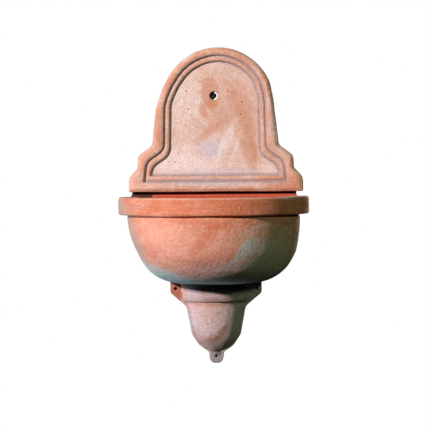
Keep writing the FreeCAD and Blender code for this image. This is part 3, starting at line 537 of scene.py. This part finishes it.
def paint_basin():
    """Redder clay, turned and wiped level, bloomed underneath, with a painted highlight where the light
    catches the bowl.
    """
    paint = Paint("basin_terracotta", BASIN_RED, 0.82, 2.0)
    paint.coat(paint.clouds(80 * MM, 0.40, 0.64, 5), BASIN_PINK, 0.45)
    paint.coat(paint.clouds(42 * MM, 0.46, 0.64, 5, 0.6, shift=5), BASIN_BROWN, 0.35)
    wiping = paint.clouds(9 * MM, 0.44, 0.60, 4, 0.6, (7, 7, 1))
    paint.coat(wiping, BASIN_BROWN, 0.45)
    on_bowl = paint.rise(paint.height, *BOWL_EDGE)
    on_rim = paint.less(on_bowl)
    swirls = paint.clouds(20 * MM, 0.48, 0.60, 5, 0.65, (1, 1, 2.6), 38, shift=9)
    paint.coat(paint.times(swirls, on_bowl), BASIN_PINK, 0.40)
    scuffs = paint.clouds(22 * MM, 0.50, 0.62, 5, 0.65, (2.4, 2.4, 1), -24, shift=15)
    paint.coat(paint.times(scuffs, on_bowl), BASIN_BROWN, 0.40)
    for turn, shift, colour in ((-26, 21, BASIN_BROWN), (32, 24, BASIN_PINK), (-4, 27, BASIN_RUST)):
        hatching = paint.clouds(3.6 * MM, 0.49, 0.57, 3, 0.7, (6, 6, 1), turn, shift)
        paint.coat(paint.times(hatching, on_bowl), colour, 0.42)
    rust = paint.clouds(24 * MM, 0.50, 0.64, 5, 0.65, (2.5, 2.5, 1), shift=12)
    paint.coat(rust, BASIN_RUST, 0.5)
    burnt = paint.times(paint.rise(paint.across, *RIM_BURN), on_rim)
    paint.coat(burnt, BASIN_RUST, 0.45)
    rim_streaks = paint.clouds(5 * MM, 0.52, 0.62, 4, 0.6, (14, 14, 1), shift=18)
    paint.coat(paint.times(rim_streaks, on_rim), BASIN_RUST, 0.5)
    # The bowl is painted greyer towards the bottom.
    paint.coat(paint.rise(paint.height, *LOW_GREY_EDGE), BASIN_LOW_GREY, 0.42)
    clean = paint.patch(on_photo(*CLEAN_MIDDLE), CLEAN_REACH, 0.06, 0.12)
    bloom = paint.times(paint.less(clean), paint.rise(paint.across, *BLOOM_FADE), on_bowl)
    paint.coat(bloom, BASIN_BLOOM, 0.85)
    lay_dabs(paint, BASIN_DABS, BASIN_THROUGH, 0.7)
    # Wear and painted highlight: the rim's top front edge paled where the light catches it.
    worn_and_lit_edge = paint.times(paint.rise(paint.height, *WORN_LIT_HEIGHT), paint.rise(paint.depth, *WORN_LIT_BACK))
    paint.coat(worn_and_lit_edge, BASIN_WORN_HIGHLIGHT, 0.5)
    inside = paint.times(
        paint.rise(paint.height, *INSIDE_TOP),
        paint.rise(paint.depth, *INSIDE_BACK),
        paint.rise(paint.depth, *INSIDE_FRONT),
        paint.rise(paint.maths("ABSOLUTE", paint.across), *INSIDE_END),
    )
    paint.coat(inside, BASIN_INSIDE)
    # Painted shade: the gap under the panel's foot and the cavity's back-left corner, laid dark as if
    # unlit.
    gap = paint.times(inside, paint.rise(paint.height, *GAP_SHADE))
    corner = paint.times(inside, paint.rise(paint.across, *CORNER_SHADE_EDGE))
    paint.coat(gap, BASIN_SHADE, 0.97)
    paint.coat(corner, BASIN_SHADE, 0.85)
    clay_grit(paint, 0.8)
    return paint.finish()


BRACKET_PINK = rgb(224, 190, 190)
BRACKET_LILAC = rgb(212, 200, 216)
BRACKET_BLUE = rgb(186, 196, 216)
BRACKET_ORANGE = rgb(190, 112, 82)
BRACKET_SMUDGE = rgb(176, 118, 94)
BRACKET_FLUSH = rgb(216, 156, 140)
BRACKET_DAMP_AND_SHADE = rgb(26, 34, 34)
BRACKET_ASH = rgb(146, 154, 164)

# The brush's touches on the bracket, in the same terms as the basin's.
BRACKET_DABS = (
    # The first touch is painted light: a bluish edge light down the bell's left side.
    (190, 326, 70, 50, 7, 84, 0.50, 0.6, BRACKET_BLUE),
    (204, 324, 90, 28, 18, 90, 0.35, 0.7, BRACKET_LILAC),
    (210, 304.5, 80, 75, 7, 0, 0.60, 0.5, BRACKET_FLUSH),
    (221, 333, 80, 30, 9, -47, 0.70, 0.45, BRACKET_SMUDGE),
    (211, 341, 70, 28, 12, -12, 0.60, 0.6, BRACKET_SMUDGE),
    (197, 336, 70, 24, 14, 60, 0.35, 0.7, BRACKET_SMUDGE),
    (182, 292, 60, 26, 16, 90, 0.50, 0.6, BRACKET_FLUSH),
    (214, 345, 70, 50, 12, 0, 0.35, 0.7, BRACKET_ASH),
    (216, 356, 16, 16, 24, 0, 0.80, 0.4, BRACKET_ASH),
    (219, 352, 16, 9, 12, 0, 0.50, 0.4, BRACKET_DAMP_AND_SHADE),
)

# The painted shadow of the bowl on the bracket's top: column, row and distance from the wall.
BOWL_SHADOW_MIDDLE = (210, 283, 90 * MM)
BOWL_SHADOW_REACH = (98 * MM, RIGHT_THROUGH, 29 * MM)
# The left ear, bare of bloom, and the heights between which the smudge on the bell's foot sets in.
BARE_EAR_PLACE = (-125 * MM, -10 * MM, -10 * MM)
BARE_EAR_REACH = (30 * MM, 20 * MM, 50 * MM)
LOW_SMUDGE = (-125 * MM, -165 * MM)


def paint_bracket():
    """Pale clay under a thick whitish bloom, with rusty smudges and a bare orange ear; painted shadow under
    the bowl.
    """
    paint = Paint("bracket_terracotta", BRACKET_PINK, 0.88, 3.0)
    paint.coat(paint.clouds(50 * MM, 0.35, 0.62, 5), BRACKET_LILAC, 0.7)
    paint.coat(paint.clouds(26 * MM, 0.5, 0.7, 5, shift=5), BRACKET_FLUSH, 0.3)
    paint.coat(paint.rise(paint.height, *LOW_SMUDGE), BRACKET_SMUDGE, 0.3)
    lay_dabs(paint, BRACKET_DABS, RIGHT_THROUGH, 0.6)
    # Painted shadow: the bowl's shade on the bracket's top, laid nearly black.
    paint.dab(on_photo(*BOWL_SHADOW_MIDDLE), BOWL_SHADOW_REACH, 0, 0.88, BRACKET_DAMP_AND_SHADE, 0.3, 0.1)
    paint.dab(BARE_EAR_PLACE, BARE_EAR_REACH, 0, 0.85, BRACKET_ORANGE, 0.3, 0.3)
    clay_grit(paint)
    return paint.finish()


GREY = rgb(150, 152, 154)
WHITE = rgb(244, 246, 248)
DIRT = rgb(214, 208, 198)
ELBOW_SHADE = rgb(24, 34, 34)
BLACK = rgb(34, 34, 35)
DUST = rgb(74, 72, 70)
STEEL_BRIGHT = rgb(196, 198, 200)
STEEL_DULL = rgb(140, 138, 134)
BRASS_BRIGHT = rgb(206, 172, 96)
BRASS_DULL = rgb(140, 106, 62)

# The painted shade on the elbow: round the left of its mouth, in the shadow of the hole's edge, and all
# down its throat. The ends are pairs along Y of where it is nil and where it is full.
MOUTH_PLACE = SPOUT + Vector((-10, -10, 0)) * MM
MOUTH_REACH = (13.5 * MM, 60 * MM, 14.5 * MM)
MOUTH_END = (-18 * MM, -20 * MM)
THROAT_REACH = (7.4 * MM, RIGHT_THROUGH, 7.4 * MM)
THROAT_END = (-4 * MM, -6 * MM)


def moulded_plastic(name, colour, roughness, dirt):
    """Moulded plastic: a faint cloudiness, a little dirt and a fine moulded grain."""
    paint = Paint(name, colour, roughness, gloss=0.5)
    paint.shade(paint.clouds(8 * MM, 0.35, 0.75), DIRT, dirt)
    paint.bumps((paint.clouds(0.6 * MM, 0.3, 0.7), 0.04 * MM))
    return paint


def paint_grey_plastic():
    """The plain plastic of pipes and wall plugs."""
    return moulded_plastic("grey_plastic", GREY, 0.45, 0.25).finish()


def paint_elbow():
    """White plastic, painted black in shade all round the mouth but for a crescent on its right, and down
    its throat.
    """
    paint = moulded_plastic("white_plastic", WHITE, 0.35, 0.15)
    in_mouth = paint.rise(paint.depth, *MOUTH_END)
    in_throat = paint.rise(paint.depth, *THROAT_END)
    paint.dab(MOUTH_PLACE, MOUTH_REACH, 0, 1.0, ELBOW_SHADE, 0.03, 0.02, in_mouth)
    paint.dab(SPOUT, THROAT_REACH, 0, 1.0, ELBOW_SHADE, 0.05, 0.02, in_throat)
    return paint.finish()


def paint_rubber():
    """Black rubber with a dusty bloom."""
    paint = Paint("rubber", BLACK, 0.75, gloss=0.3)
    paint.coat(paint.clouds(5 * MM, 0.4, 0.75), DUST, 0.3)
    paint.bumps((paint.clouds(0.8 * MM, 0.3, 0.7), 0.05 * MM))
    return paint.finish()


def paint_metal(name, bright, dull, roughness):
    """Turned metal: fine rings of the tool, dulled in patches."""
    paint = Paint(name, bright, roughness, gloss=0.5, metallic=1.0)
    paint.coat(paint.clouds(6 * MM, 0.4, 0.7, 4), dull, 0.6)
    rings = paint.clouds(0.9 * MM, 0.3, 0.7, 2, 0.5, (12, 12, 1))
    paint.bumps((rings, 0.03 * MM))
    return paint.finish()


# Clay pieces: softened copies of the CAD solids, then pressed, leaned and roughened.

SOFTENING = 0.5
SOFTENING_ROUNDS = 3
# How far one step of a piece's seed moves its waves.
WAVE_STEP = np.array((3.7, 1.3, 2.1))
# Clay nearer the wall than this is flatter than the rest, and flat where it touches.
FLAT_BACK = 6 * MM


def apply_modifiers(piece):
    """Bake the modifiers of a piece into its mesh."""
    seen = piece.evaluated_get(bpy.context.evaluated_depsgraph_get())
    mesh = bpy.data.meshes.new_from_object(seen)
    piece.modifiers.clear()
    piece.data = mesh


def clay_piece(node, name, voxel):
    """A softened copy of a CAD node, in small even faces that can be pressed and bent."""
    piece = collect(bpy.data.objects.new(name, frame["nodes"][node].data.copy()))
    remesh = piece.modifiers.new("even_faces", "REMESH")
    remesh.mode = "VOXEL"
    remesh.voxel_size = voxel
    soften = piece.modifiers.new("soften", "SMOOTH")
    soften.factor = SOFTENING
    soften.iterations = SOFTENING_ROUNDS
    apply_modifiers(piece)
    piece.data.polygons.foreach_set("use_smooth", [True] * len(piece.data.polygons))
    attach(piece, "root")
    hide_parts(node)
    return piece


def points_of(piece):
    """Places and normals of a piece's points, each as rows of three numbers."""
    mesh = piece.data
    places = np.empty(len(mesh.vertices) * 3)
    mesh.vertices.foreach_get("co", places)
    normals = np.empty(len(mesh.vertices) * 3)
    mesh.vertex_normals.foreach_get("vector", normals)
    return places.reshape(-1, 3), normals.reshape(-1, 3)


def set_points(piece, places):
    piece.data.vertices.foreach_set("co", places.ravel())
    piece.data.update()


def waves(places, size, seed):
    """Smooth noise between -1 and 1 at every place."""
    shifted = places / size + WAVE_STEP * seed
    return np.array([noise.noise(place) for place in shifted.tolist()])


def mark(piece, name, amounts):
    """Keep a number, or a row of three, for each point of a piece, for its paint to read."""
    kind, field = ("FLOAT", "value") if amounts.ndim == 1 else ("FLOAT_VECTOR", "vector")
    attribute = piece.data.attributes.new(name, kind, "POINT")
    attribute.data.foreach_set(field, amounts.ravel())


def lean(piece, course):
    """Shift a piece sideways by height: pairs of a height and a shift, from the bottom up."""
    heights, shifts = zip(*course)
    places, _ = points_of(piece)
    places[:, 0] += np.interp(places[:, 2], heights, shifts)
    set_points(piece, places)


def roughen(piece, shake, seed):
    """Uneven hand-pressed clay, in waves of several sizes. What lies on the wall stays flat."""
    places, normals = points_of(piece)
    move = sum(depth * waves(places, size, seed + i) for i, (size, depth) in enumerate(shake))
    off_wall = np.clip(-places[:, 1] / FLAT_BACK, 0, 1)
    set_points(piece, places + normals * (move * off_wall)[:, None])


def reach_to(places, line):
    """The distance of every place from the nearest point of a line, both seen from the front."""
    tree = kdtree.KDTree(len(line))
    for i, (x, _, z) in enumerate(line.tolist()):
        tree.insert((x, 0, z), i)
    tree.balance()
    return np.array([tree.find((x, 0, z))[2] for x, _, z in places.tolist()])


def swell(share):
    """A round hump over 0 to 1."""
    return 1 - (2 * np.clip(share, 0, 1) - 1) ** 2


def fade(away, width):
    """1 at no distance, and next to nothing beyond two widths."""
    return np.exp(-((away / width) ** 2))


# The height of the point that the panel's steps face.
PANEL_MIDDLE = 450 * MM
# What tells its sides and its front apart: how far a normal points along Y, and distances from the wall.
STEEP = 0.75
FACING_OUT = -0.1
OUTLINE_LEVELS = (20 * MM, 26 * MM)
FRONT_LEVEL = 30 * MM
STEP_MARGIN = 1.5 * MM

# The rolls that the bands swell into, the groove along the low side of each step, and its bloom and painted
# shade.
OUTER_ROLL = 3.5 * MM
INNER_ROLL = 2.8 * MM
GROOVE_DEPTH = 2.8 * MM
GROOVE_WIDTH = 2.4 * MM
GROOVE_PLACE = 1.0 * MM
GROOVE_BLOOM_AND_SHADE = 4.0 * MM
# Brush strokes run round the arch at about this distance from its middle, and are this drawn out.
ARCH_REACH = 160 * MM
STROKE_LENGTH = 8

# The panel leans to the right and narrows towards its top: pairs of a height and a shift, and of a height
# and a share of its width. Within about this distance of the spout, where the elbow sits, it does neither.
PANEL_LEAN = (
    (0.28, 0.003), (0.52, 0.003), (0.55, 0.0055),
    (0.575, 0.008), (0.60, 0.011), (0.70, 0.011),
)
PANEL_WIDTH = (
    (0.28, 1.0), (0.39, 1.0), (0.41, 0.984), (0.53, 0.984),
    (0.57, 0.96), (0.68, 0.96), (0.70, 0.97),
)
SPOUT_CALM = 45 * MM
# How much the panel's foot is lifted off the ledge, and how far up that is felt.
FOOT_RISE = 2 * MM
FOOT_REACH = 15 * MM
# The size of the panel's faces, and the waves in its clay: pairs of a length and a depth.
PANEL_FACES = 1.7 * MM
PANEL_WAVES = ((90 * MM, 0.9 * MM), (22 * MM, 0.35 * MM))


def panel_lines(places, normals):
    """The points on the panel's outline, on its outer step and on its inner step."""
    stand = -places[:, 1]
    outward = normals[:, 0] * places[:, 0] + normals[:, 2] * (places[:, 2] - PANEL_MIDDLE)
    steep = np.abs(normals[:, 1]) < STEEP

    def facing(sign, low, high):
        return places[steep & (outward * sign > 0) & (stand > low) & (stand < high)]

    return (
        facing(1, *OUTLINE_LEVELS),
        facing(-1, INNER_BAND + STEP_MARGIN, OUTER_BAND - STEP_MARGIN),
        facing(-1, FIELD + STEP_MARGIN, INNER_BAND - STEP_MARGIN),
    )


def model_panel(piece):
    """Round the two bands into rolls and press a groove along the foot of each step."""
    places, normals = points_of(piece)
    front = (normals[:, 1] < FACING_OUT) & (-places[:, 1] > FRONT_LEVEL)
    shown = places[front]
    level = -shown[:, 1]
    to_outline, to_outer, to_inner = (reach_to(shown, line) for line in panel_lines(places, normals))
    on_outer = level > (OUTER_BAND + INNER_BAND) / 2
    on_inner = ~on_outer & (level > (INNER_BAND + FIELD) / 2)
    beside = np.minimum(to_outer, to_inner)
    along_arch = np.arctan2(shown[:, 0], shown[:, 2] - PANEL_MIDDLE) * ARCH_REACH / STROKE_LENGTH

    def mark_front(name, amounts):
        marks = np.zeros((len(places), *amounts.shape[1:]))
        marks[front] = amounts
        mark(piece, name, marks)

    mark_front("strokes", np.stack((along_arch, to_outline, np.zeros(len(shown))), axis=1))
    mark_front("groove", fade(beside, GROOVE_BLOOM_AND_SHADE))
    mark_front("field", ~on_outer & ~on_inner)
    move = np.where(on_outer, OUTER_ROLL * swell(to_outer / (to_outer + to_outline)), 0)
    move += np.where(on_inner, INNER_ROLL * swell(to_inner / (to_inner + to_outer)), 0)
    for distance, above in ((to_outer, on_outer), (to_inner, on_outer | on_inner)):
        along = np.where(above, -distance, distance)
        move -= GROOVE_DEPTH * fade(along - GROOVE_PLACE, GROOVE_WIDTH)
    shown[:, 1] -= move
    places[front] = shown
    set_points(piece, places)


def warp_panel(piece):
    """Make the arch narrower and leaning, but true round the spout, and lift the panel's foot."""
    places, _ = points_of(piece)
    x, z = places[:, 0], places[:, 2]
    width = np.interp(z, *zip(*PANEL_WIDTH))
    shift = np.interp(z, *zip(*PANEL_LEAN))
    from_spout = np.hypot(x, z - SPOUT.z) / SPOUT_CALM
    loose = 1 - np.exp(-(from_spout**4))
    places[:, 0] += (x * (width - 1) + shift) * loose
    places[:, 2] += FOOT_RISE * fade(z - PANEL_FOOT, FOOT_REACH)
    set_points(piece, places)


# How the basin leans: pairs of a height and a shift. How its lowest part draws in: pairs of a height and a
# share of its size. What stands less than BASIN_BACK from the wall keeps its distance from it.
BASIN_LEAN = (
    (0.02, 0.004), (0.11, 0.005), (0.14, 0.0015),
    (0.18, -0.0015), (0.22, -0.0025), (0.28, -0.0025),
)
BASIN_DRAW = ((0.02, 0.93), (0.03, 0.965), (0.045, 0.99), (0.06, 1.0))
BASIN_BACK = 20 * MM
# The undercut just below the rim.
UNDERCUT_HEIGHT = 214.5 * MM
UNDERCUT_WIDTH = 3.0 * MM
UNDERCUT_DEPTH = 3.5 * MM
# The strip behind the gap: how thick it is left, and how far it goes up past the panel's lifted foot.
GAP_BACK = 16 * MM
STRIP_BITE = 0.3 * MM
BASIN_FACES = 2.4 * MM
BASIN_WAVES = ((110 * MM, 1.2 * MM), (30 * MM, 0.4 * MM))


def model_basin(piece):
    """Draw the base in, undercut the rim, and cut the joint under the panel back into a dark gap."""
    places, normals = points_of(piece)
    outside = -places[:, 1] > BASIN_BACK
    draw = np.interp(places[:, 2], *zip(*BASIN_DRAW))
    places[:, 0] *= draw
    places[outside, 1] *= draw[outside]
    sideways = normals * (1, 1, 0)
    faces_out = (places * sideways).sum(axis=1) > 0
    undercut = UNDERCUT_DEPTH * fade(places[:, 2] - UNDERCUT_HEIGHT, UNDERCUT_WIDTH) * (outside & faces_out)
    places -= sideways * undercut[:, None]
    ledge = (places[:, 2] > GAP_TOP) & (places[:, 1] < -GAP_BACK)
    places[ledge, 1] = -GAP_BACK
    up_strip = np.clip((places[:, 2] - GAP_TOP) / (PANEL_FOOT - GAP_TOP), 0, 1)
    places[:, 2] += (FOOT_RISE + STRIP_BITE) * up_strip
    set_points(piece, places)


# The bell's foot runs out lower and wider than drawn, more and more so between these two heights. What
# stands less than the flange's face from the wall stays as it is.
BELL_TURN = -115 * MM
BELL_END = -177 * MM
BELL_DROP = 8 * MM
BELL_SPREAD = 0.16
BELL_CURVE = 1.5
BELL_MARGIN = 5 * MM
FLANGE_FACE = 16.5 * MM
# The groove round the bell's neck, and how far it is lifted at the wall and at its front to look level.
NECK_HEIGHT = -38 * MM
NECK_SPAN = 18 * MM
NECK_STAND = 85 * MM
NECK_LIFT = (-0.8 * MM, 3.7 * MM)
BRACKET_FACES = 1.8 * MM
BRACKET_WAVES = ((60 * MM, 0.8 * MM), (18 * MM, 0.35 * MM))


def model_bracket(piece):
    """Let the bell run out towards the tab, and level its groove as the camera sees it."""
    places, _ = points_of(piece)
    x, y, z = places.T
    proud = -y > FLANGE_FACE
    down = np.clip((BELL_TURN - z) / (BELL_TURN - BELL_END), 0, 1)
    reach = np.where(proud & (z > BELL_END - BELL_MARGIN), down**BELL_CURVE, 0)
    near_neck = fade(z - NECK_HEIGHT, NECK_SPAN) * proud
    lift = np.interp(-y, (0, NECK_STAND), NECK_LIFT) * near_neck
    places[:, 0] *= 1 + BELL_SPREAD * reach
    places[:, 2] += lift - BELL_DROP * reach
    set_points(piece, places)


# The stage: a floor far below, and what stands for the unlit wall behind the bracket's screw holes.

FLOOR_LEVEL = -2.9
FLOOR_RADIUS = 3.0
FLOOR_SIDES = 96
FLOOR_COLOUR = rgb(236, 236, 234)
SHADE_COLOUR = rgb(10, 10, 10)
SHADE_SIDES = 24
SHADE_STAND = 3 * MM
# How much smaller than its hole a dark disc is.
SHADE_PLAY = 0.05 * MM
X, Y, Z = Matrix.Identity(3)


def make_disc(name, centre, radius, sides, up):
    """A flat disc of one face that lies along X and a second axis."""
    turns = [2 * math.pi * side / sides for side in range(sides)]
    ring = [centre + radius * (math.cos(turn) * X + math.sin(turn) * up) for turn in turns]
    mesh = bpy.data.meshes.new(name)
    mesh.from_pydata(ring, [], [range(sides)])
    return collect(bpy.data.objects.new(name, mesh))


def make_floor():
    """A plain pale floor, which throws no light back up at the fountain."""
    floor = make_disc("floor", FLOOR_LEVEL * Z, FLOOR_RADIUS, FLOOR_SIDES, Y)
    floor.visible_diffuse = False
    dress(floor, Paint("floor_paint", FLOOR_COLOUR, 0.8).finish())


def make_hole_shades():
    """Dark discs in the bracket's screw holes: one in each ear, and one in the tab."""
    black = Paint("hole_shade", SHADE_COLOUR, 1.0, gloss=0.0).finish()
    ears, tab = mount("wall_screws"), mount("tab_screw")
    apart = ears["dims"]["spacing_x_mm"] * MM * X
    radius = ears["dims"]["hole_r_mm"] * MM - SHADE_PLAY
    middle = Vector(ears["pos_m"])
    for i, place in enumerate((middle - apart / 2, middle + apart / 2, Vector(tab["pos_m"]))):
        place.y = -SHADE_STAND
        shade = make_disc(f"hole_shade_{i}", place, radius, SHADE_SIDES, Z)
        dress(shade, black)


make_camera()
make_lamps()
make_world()
make_floor()
make_hole_shades()

panel = clay_piece("panel", "panel_clay", PANEL_FACES)
model_panel(panel)
warp_panel(panel)
roughen(panel, PANEL_WAVES, 1)
dress(panel, paint_panel())

basin = clay_piece("basin", "basin_clay", BASIN_FACES)
model_basin(basin)
lean(basin, BASIN_LEAN)
roughen(basin, BASIN_WAVES, 2)
dress(basin, paint_basin())

bracket = clay_piece("bracket", "bracket_clay", BRACKET_FACES)
model_bracket(bracket)
roughen(bracket, BRACKET_WAVES, 3)
dress(bracket, paint_bracket())

# The fittings keep the shapes of the CAD.
finishes = {
    paint_elbow(): ("inlet_elbow",),
    paint_grey_plastic(): ("inlet_plugs", "standpipe"),
    paint_rubber(): ("inlet_gasket", "waste_top_washer", "waste_bottom_washer", "standpipe_seal"),
    paint_metal("steel", STEEL_BRIGHT, STEEL_DULL, 0.35): ("inlet_screws",),
    paint_metal("brass", BRASS_BRIGHT, BRASS_DULL, 0.38): ("waste_body", "waste_nut"),
}
for material, nodes in finishes.items():
    for node in nodes:
        dress(frame["nodes"][node], material)
